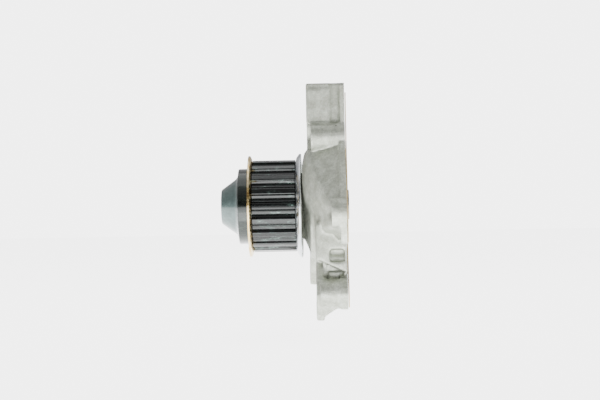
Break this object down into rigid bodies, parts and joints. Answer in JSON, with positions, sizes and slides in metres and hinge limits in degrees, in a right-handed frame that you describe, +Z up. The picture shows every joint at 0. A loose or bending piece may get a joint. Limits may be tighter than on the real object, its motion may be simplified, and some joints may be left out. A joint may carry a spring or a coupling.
{
  "type": "water pump",
  "caption": "Timing-belt driven coolant pump for a car engine, with toothed sprocket, cast housing, open impeller and paper gasket.",
  "frame": {"origin": "centre of the spindle's block-side end face, on the rotor axis, in the plane of the gasket's outer face that meets the engine block", "axes": "+X out of the mounting face towards the engine block along the rotor axis, so the sprocket's nose points to -X; +Z up towards the tall arm of the casting; +Y away from the side with the two near bolt bosses"},
  "size_m": [0.0781, 0.1353, 0.1397],
  "materials": {
    "cast_aluminium": "die cast and shot blasted, machined on the mounting face and bolt seats",
    "gasket_paper": "compressed fibre sheet, matt beige",
    "black_oxide_steel": "steel, black-oxide blue-grey, satin",
    "yellow_zinc": "pressed steel with yellow zinc plating, gold coloured",
    "bright_zinc": "pressed steel with bright zinc plating",
    "bearing_steel": "hardened and ground steel",
    "nitrile_rubber": "moulded rubber",
    "cage_nylon": "glass-filled nylon",
    "seal_brass": "drawn brass",
    "seal_carbon": "lapped carbon graphite",
    "alumina_ceramic": "lapped alumina",
    "cast_iron": "cast iron, machined hub face"
  },
  "bodies": {
    "pump_body": {"housing": "cast_aluminium", "gasket": "gasket_paper", "bearing_outer_ring": "bearing_steel", "bearing_front_seal": "nitrile_rubber", "bearing_rear_seal": "nitrile_rubber", "seal_cup": "seal_brass", "seal_bellows": "nitrile_rubber", "seal_spring": "bearing_steel", "seal_carbon_ring": "seal_carbon"},
    "rotor": {"timing_sprocket": "black_oxide_steel", "sprocket_front_flange": "yellow_zinc", "sprocket_rear_flange": "bright_zinc", "pump_shaft": "bearing_steel", "impeller": "cast_iron", "seal_mating_ring": "alumina_ceramic", "mating_ring_boot": "nitrile_rubber"},
    "front_ball_row": {"bearing_cage_front": "cage_nylon", "ball_front_1": "bearing_steel", "ball_front_2": "bearing_steel", "ball_front_3": "bearing_steel", "ball_front_4": "bearing_steel", "ball_front_5": "bearing_steel", "ball_front_6": "bearing_steel", "ball_front_7": "bearing_steel"},
    "rear_ball_row": {"bearing_cage_rear": "cage_nylon", "ball_rear_1": "bearing_steel", "ball_rear_2": "bearing_steel", "ball_rear_3": "bearing_steel", "ball_rear_4": "bearing_steel", "ball_rear_5": "bearing_steel", "ball_rear_6": "bearing_steel", "ball_rear_7": "bearing_steel"}
  },
  "joints": [
    {"name": "rotor_spin", "type": "hinge", "parent": "pump_body", "child": "rotor", "pos_m": [0, 0, 0], "axis": [1, 0, 0], "continuous": true},
    {"name": "front_cage_spin", "type": "hinge", "parent": "pump_body", "child": "front_ball_row", "pos_m": [-0.0455, 0, 0], "axis": [1, 0, 0], "continuous": true},
    {"name": "rear_cage_spin", "type": "hinge", "parent": "pump_body", "child": "rear_ball_row", "pos_m": [-0.0275, 0, 0], "axis": [1, 0, 0], "continuous": true}
  ],
  "couplings": [
    {"joint": "front_cage_spin", "follows": "rotor_spin", "ratio": 0.353},
    {"joint": "rear_cage_spin", "follows": "rotor_spin", "ratio": 0.353}
  ]
}
